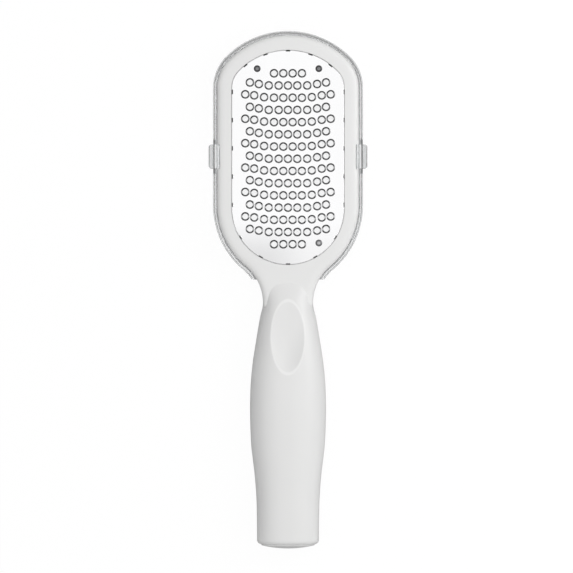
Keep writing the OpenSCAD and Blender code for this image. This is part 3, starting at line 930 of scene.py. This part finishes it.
def buildHandleFront():
    piece = combine(buildFrame(), "UNION", buildFrontGrip())
    sockets = [
        tube(socketRadius, shell["jointZ"], along(crownLine, share(y)) - shell["postEnd"], [(x, y)])
        for x, y in pegPlaces
    ]
    bosses = [tube(boss["radius"], bossZ, ledgeZ + 0.1, [p]) for p in rivetSites]
    combine(piece, "UNION", *sockets, *bosses)

    flare = shell["recessEdge"]
    steps = [(0, ledgeZ), (0, faceZ - flare)]
    steps += [(flare * (1 - math.cos(a)), faceZ - flare * (1 - math.sin(a))) for a in quarter(5)][1:]
    steps += [(flare + 0.02, faceZ + 0.1), (flare + 0.02, faceZ + 9)]
    recess = levels("recess", lambda inset: plateOutline(plate["gap"] + inset), steps)
    slots = [
        block((-prong["width"] / 2 - prong["slack"], -plate["thickness"] - prong["slack"], webZ - 1),
              (prong["width"] / 2 + prong["slack"], prong["slotOut"], far), turn, place)
        for place, turn in prongSites()
    ]
    holes = tube(rivet["hole"], farDown, far, rivetSites)
    boreTop = shell["jointZ"] + peg["height"] + peg["slack"]
    bores = tube(peg["radius"] + peg["slack"], farDown, boreTop, pegPlaces)
    inner = head["width"] / 2 - head["bodyInset"] - clip["hook"] - clip["slack"]
    low = faceZ - shell["hookDepth"] - clip["slack"]
    span = clip["length"] / 2 + clip["endGap"]
    notches = [block((min(side * inner, side * far), clipY - span, low),
                     (max(side * inner, side * far), clipY + span, far)) for side in (-1, 1)]
    combine(piece, "DIFFERENCE", recess, *slots, holes, bores, *notches)
    return finished(piece, "handleFront", "handle_front", whitePlastic, 16)


# Back shell of the grip, with pegs that go into the front shell's sockets
def buildHandleBack():
    places = [endY] + stations(endY - 0.3, heelEdge + shell["heelRadius"], 1.2)
    rings = [backRing(y, 1 if i else 0.98) for i, y in enumerate(places)]
    rings += [backRing(y, s) for y, s in heelStations()]
    piece = loft("back", rings)
    hollow = loft("hollow", [backRing(y, 1, shell["wall"], 1) for y in stations(hollowFrom, hollowTo, 2)])
    combine(piece, "DIFFERENCE", hollow)
    posts = [
        tube(socketRadius, along(underLine, share(y)) + shell["postEnd"], shell["jointZ"], [(x, y)])
        for x, y in pegPlaces
    ]
    pegs = tube(peg["radius"], shell["jointZ"] - 1, shell["jointZ"] + peg["height"], pegPlaces)
    combine(piece, "UNION", *posts, pegs)
    return finished(piece, "handleBack", "handle_back", whitePlastic, 20)


# Rasping plate: sheet steel drawn up to a sharp lip around each hole, held by prongs all round its edge
def buildProng(place, turn):
    # down through its slot, with the tip turned over outwards under the web
    t, bend = plate["thickness"], prong["bend"]
    low = webZ - prong["slack"] - t
    profile = [(prong["tip"], low), (prong["tip"], low + t), (0, low + t)]
    profile += [(bend * (math.cos(a) - 1), plateTop + bend * (math.sin(a) - 1)) for a in quarter(7)]
    profile += [(-1.2, plateTop), (-1.2, ledgeZ), (-t, ledgeZ)]
    profile += [(bend * (1 - math.cos(a)) - t, low + bend * (1 - math.sin(a))) for a in quarter()]
    ca, sa = math.cos(math.radians(turn)), math.sin(math.radians(turn))
    rings = [
        [(place[0] + x * ca - y * sa, place[1] + x * sa + y * ca, z) for y, z in profile]
        for x in (-prong["width"] / 2, prong["width"] / 2)
    ]
    return loft("prong", rings)


def buildRaspPlate():
    edge = 0.14
    steps = [(edge * (1 - math.sin(a)), plateTop - edge * (1 - math.cos(a))) for a in quarter(4)]
    steps += [(0, ledgeZ)]
    piece = levels("sheet", lambda inset: plateOutline(-inset), steps)
    half = prong["width"] / 2
    cuts = [block((-half, -1.1, 0), (half, 9, far), turn, place) for place, turn in prongSites()]
    combine(piece, "DIFFERENCE", *cuts)
    combine(piece, "UNION", *[buildProng(place, turn) for place, turn in prongSites()])

    # a tooth's section: up the flank, over the lip and down the bore
    foot, lip, hole, top = teeth["drawnRadius"], teeth["lipRadius"], teeth["holeRadius"], plateTop
    profile = [
        (foot + 0.03, top - 0.02), (foot + 0.01, top + 0.02), (foot - 0.05, top + 0.09),
        (foot - 0.14, top + 0.19), (foot - 0.23, top + 0.3), (lip + 0.04, top + 0.4),
        (lip - 0.03, top + 0.46), (lip - 0.09, top + 0.45), (hole + 0.1, top + 0.36),
        (hole + 0.03, top + 0.2), (hole, top), (hole + 0.01, top - 0.25), (hole + 0.07, top - 0.45),
        (hole + 0.2, ledgeZ + 0.02), (foot - 0.1, ledgeZ + 0.02), (foot - 0.05, top - 0.15),
    ]
    sites = toothSites()
    combine(piece, "DIFFERENCE", tube(foot - 0.2, 0, far, sites, 32), tube(rivet["hole"], 0, far, rivetSites))
    combine(piece, "UNION", turned("lips", profile, sites, 32, True))
    print(f"teeth: {len(sites)}")
    return finished(piece, "raspPlate", "rasp_plate", sheetSteel, 32)


# Rivets with a low domed head
def buildRivet(place, name, node):
    r, h = rivet["head"], rivet["height"]
    profile = [(0.01, bossZ - h), (r - 0.1, bossZ - h), (r, bossZ - h + 0.1), (r, bossZ)]
    profile += [(rivet["shank"], bossZ), (rivet["shank"], plateTop)]
    profile += [(r - 0.04, plateTop), (r, plateTop + 0.06)]
    dome = [math.radians(a) for a in range(10, 90, 8)]
    profile += [(r * math.cos(a), plateTop + 0.06 + (h - 0.06) * math.sin(a)) for a in dome]
    profile += [(0.01, plateTop + h)]
    piece = turned(name, profile, [place], 48, False)
    return finished(piece, name, node, rivetSteel, 40)


# Clear tray around the back of the frame, with a clip on each side that hooks over its edge
tray = {"wall": 1.5, "floor": 1.5, "rimZ": 13, "footRadius": 2, "innerRadius": 0.8, "rimRadius": 0.42}
clip = {
    "length": 10.2,
    "down": 53.4,  # its middle below the tip
    "out": 1.8,
    "hook": 1.15,
    "slack": 0.1,
    "endGap": 0.3,  # in the frame's notch, at each end
    "corner": 1.2,
    "crest": 0.45,  # radius of the tab's upper edge
    "nose": 0.35,  # radius of the hook's edge
    "tab": 0.55,  # the tab starts at this share of the relief's depth
    "relief": 2.1,
    "reliefDepth": 6,
}
clipY = tipY - clip["down"]


def buildClip(side):
    # up the tray's wall, out into the tab and over the frame's edge
    root, inner, out = tray["rimZ"] - clip["reliefDepth"], -head["bodyInset"] - clip["hook"], clip["out"]
    c, n = clip["crest"], clip["nose"]
    under = root + clip["reliefDepth"] * clip["tab"]
    profile = [(-tray["wall"], root), (0, root), (0, under - 0.25), (0.2, under)]
    profile += [(out - 0.2, under), (out, under + 0.2)]
    profile += [(out - c + c * math.cos(a), faceZ - c + c * math.sin(a)) for a in quarter(5)]
    profile += [(inner + n - n * math.sin(a), faceZ - n + n * math.cos(a)) for a in quarter(4)]
    profile += [(inner + 0.15, faceZ - shell["hookDepth"]), (-tray["wall"], faceZ - shell["hookDepth"])]
    ends = (-clip["length"] / 2, clip["length"] / 2)
    piece = loft("clip", [[(x, y, z) for x, z in profile] for y in ends])

    r, half = clip["corner"], clip["length"] / 2
    plan = [(-head["width"] / 2, -half)] + arc((out - r, r - half), r, 180, 90, 10)
    plan += arc((out - r, half - r), r, 90, 0, 10) + [(-head["width"] / 2, half)]
    combine(piece, "INTERSECT", loft("plan", [[(x, y, z) for x, y in plan] for z in (0, far)]))
    for vertex in piece.data.vertices:
        vertex.co.x = side * (vertex.co.x + head["width"] / 2 * mm)
        vertex.co.y = side * vertex.co.y + clipY * mm
    return piece


def buildCatchTray():
    wall, floor, foot = tray["wall"], tray["floor"], tray["footRadius"]
    inner, rim, rimZ = tray["innerRadius"], tray["rimRadius"], tray["rimZ"]
    steps = [(wall + inner * (1 - math.sin(a)), floor + inner * (1 - math.cos(a))) for a in quarter(5)]
    steps += [(wall - rim * (1 - math.cos(a)), rimZ - rim * (1 - math.sin(a))) for a in quarter(4)]
    steps += [(rim * (1 - math.sin(a)), rimZ - rim * (1 - math.cos(a))) for a in quarter(4)]
    steps += [(foot * (1 - math.cos(a)), foot * (1 - math.sin(a))) for a in quarter(8)]
    piece = levels("tray", headOutline, steps)
    half, root = clip["length"] / 2, rimZ - clip["reliefDepth"]
    reliefs = [block((-far, low, root), (far, low + clip["relief"], far))
               for low in (clipY - half - clip["relief"], clipY + half)]
    combine(piece, "DIFFERENCE", *reliefs)
    combine(piece, "UNION", buildClip(1), buildClip(-1))
    combine(piece, "DIFFERENCE", block((-far, heelY, farDown), (far, endY, far)))
    return finished(piece, "catchTray", "catch_tray", clearPlastic, 30)


buildHandleFront()
buildHandleBack()
buildRaspPlate()
for place, name, node in zip(
    rivetSites,
    ("rivetUpperLeft", "rivetUpperRight", "rivetLowerRight"),
    ("rivet_upper_left", "rivet_upper_right", "rivet_lower_right"),
):
    buildRivet(place, name, node)
buildCatchTray()
print("pieces ready")

# Floor and light, in metres
studio = {
    "floorSize": 3.0,  # half its side
    "floorSeen": 0.95,  # glow of the floor to the camera
    "floorThrough": 1.0,  # through the clear tray
    "floorMirrored": 0.3,  # in reflections
    "paper": 0.8,  # how much light the floor throws back up
    "shadow": 0.06,  # how much of the light on it the camera sees
    "zenith": 1.335,
    "horizon": 0.1,
    "darkUpTo": 0.42,  # sine of the height over the horizon
    "brightFrom": 0.8,
    "throughWall": 3.0,  # light that comes in through the clear wall
}


def buildFloor():
    size = studio["floorSize"]
    mesh = bpy.data.meshes.new("floor")
    corners = [(-size, -size, 0), (size, -size, 0), (size, size, 0), (-size, size, 0)]
    mesh.from_pydata(corners, [], [(0, 1, 2, 3)])
    floor = bpy.data.objects.new("floor", mesh)
    scene.collection.objects.link(floor)
    material = bpy.data.materials.new("whiteFloor")
    material.use_nodes = True
    tree = material.node_tree
    tree.nodes.clear()
    out = tree.nodes.new("ShaderNodeOutputMaterial")
    path = tree.nodes.new("ShaderNodeLightPath").outputs
    seen, through = path["Is Camera Ray"], path["Is Transmission Ray"]
    mirrored = maths(tree, "MULTIPLY", path["Is Glossy Ray"], maths(tree, "SUBTRACT", 1, through))
    glow = tree.nodes.new("ShaderNodeEmission")
    total = maths(tree, "MULTIPLY", seen, studio["floorSeen"])
    for ray, share in ((through, studio["floorThrough"]), (mirrored, studio["floorMirrored"])):
        total = maths(tree, "ADD", total, maths(tree, "MULTIPLY", ray, share))
    tree.links.new(total, glow.inputs["Strength"])
    paper = tree.nodes.new("ShaderNodeBsdfDiffuse")
    special = maths(tree, "MAXIMUM", maths(tree, "MAXIMUM", seen, through), mirrored)
    albedo = maths(tree, "MULTIPLY", maths(tree, "SUBTRACT", 1, special), studio["paper"])
    albedo = maths(tree, "ADD", albedo, maths(tree, "MULTIPLY", seen, studio["shadow"]))
    tree.links.new(albedo, paper.inputs["Color"])
    both = tree.nodes.new("ShaderNodeAddShader")
    tree.links.new(paper.outputs[0], both.inputs[0])
    tree.links.new(glow.outputs[0], both.inputs[1])
    tree.links.new(both.outputs[0], out.inputs["Surface"])
    mesh.materials.append(material)


def buildWorld():
    world = bpy.data.worlds.new("studio")
    scene.world = world
    world.use_nodes = True
    tree = world.node_tree
    tree.nodes.clear()
    out = tree.nodes.new("ShaderNodeOutputWorld")
    sky = tree.nodes.new("ShaderNodeBackground")
    high = ramped(tree, objectAxes(tree, "Generated")["Z"], studio["darkUpTo"], studio["brightFrom"])
    dome = maths(tree, "MULTIPLY", high, studio["zenith"] - studio["horizon"])
    dome = maths(tree, "ADD", dome, studio["horizon"])
    # the camera sees white, and what lies behind the clear wall is lit through it
    path = tree.nodes.new("ShaderNodeLightPath").outputs
    bounced = maths(tree, "MINIMUM", path["Diffuse Depth"], 1)
    inside = maths(tree, "MULTIPLY", bounced, path["Is Transmission Ray"])
    inside = maths(tree, "MULTIPLY", inside, studio["throughWall"])
    bright = maths(tree, "MAXIMUM", path["Is Camera Ray"], inside)
    tree.links.new(maths(tree, "MAXIMUM", dome, bright), sky.inputs["Strength"])
    tree.links.new(sky.outputs[0], out.inputs["Surface"])


# Softboxes: where they stand, where they point, their size and their radiance
softboxes = {
    "keyRight": {"at": (0.36, 0.17, 0.3), "aim": (0, 0, 0), "size": (0.32, 0.28), "radiance": 2.3},
    "sideLeft": {"at": (-0.75, -0.22, 0.3), "aim": (0, -0.05, 0), "size": (0.5, 0.3), "radiance": 0.05},
    "sideRight": {"at": (0.27, -0.2, 0.06), "aim": (0, -0.2, 0.01), "size": (0.2, 0.1), "radiance": 1.1},
    "stripLeft": {"at": (-0.42, -0.1, 1.95), "aim": (0, -0.05, 0), "size": (0.3, 0.06), "radiance": 9},
    "stripRight": {"at": (0.42, -0.1, 1.95), "aim": (0, -0.05, 0), "size": (0.3, 0.06), "radiance": 9},
}


def buildSoftbox(name, box):
    data = bpy.data.lights.new(name, "AREA")
    data.shape = "RECTANGLE"
    data.size, data.size_y = box["size"]
    data.energy = math.pi * data.size * data.size_y * box["radiance"]
    lamp = bpy.data.objects.new(name, data)
    scene.collection.objects.link(lamp)
    lamp.visible_transmission = False
    lamp.location = box["at"]
    away = lamp.location - type(lamp.location)(box["aim"])
    lamp.rotation_euler = away.to_track_quat("Z", "Y").to_euler()


buildFloor()
buildWorld()
for name, box in softboxes.items():
    buildSoftbox(name, box)

# Camera: straight down through a long lens. The scale holds at the height planeZ.
shot = {
    "pixels": 573,
    "mmPerPixel": 0.42471,
    "middle": (-0.64, 1.42),
    "planeZ": 14,
    "lens": 300,
    "sensor": 36,
}
frameWidth = shot["pixels"] * shot["mmPerPixel"]
cameraData = bpy.data.cameras.new("camera")
cameraData.lens = shot["lens"]
cameraData.sensor_width = shot["sensor"]
cameraData.clip_end = 20
camera = bpy.data.objects.new("camera", cameraData)
scene.collection.objects.link(camera)
distance = frameWidth * shot["lens"] / shot["sensor"]
camera.location = (shot["middle"][0] * mm, shot["middle"][1] * mm, (shot["planeZ"] + distance) * mm)
scene.camera = camera
scene.view_settings.view_transform = "Standard"
print("studio ready")
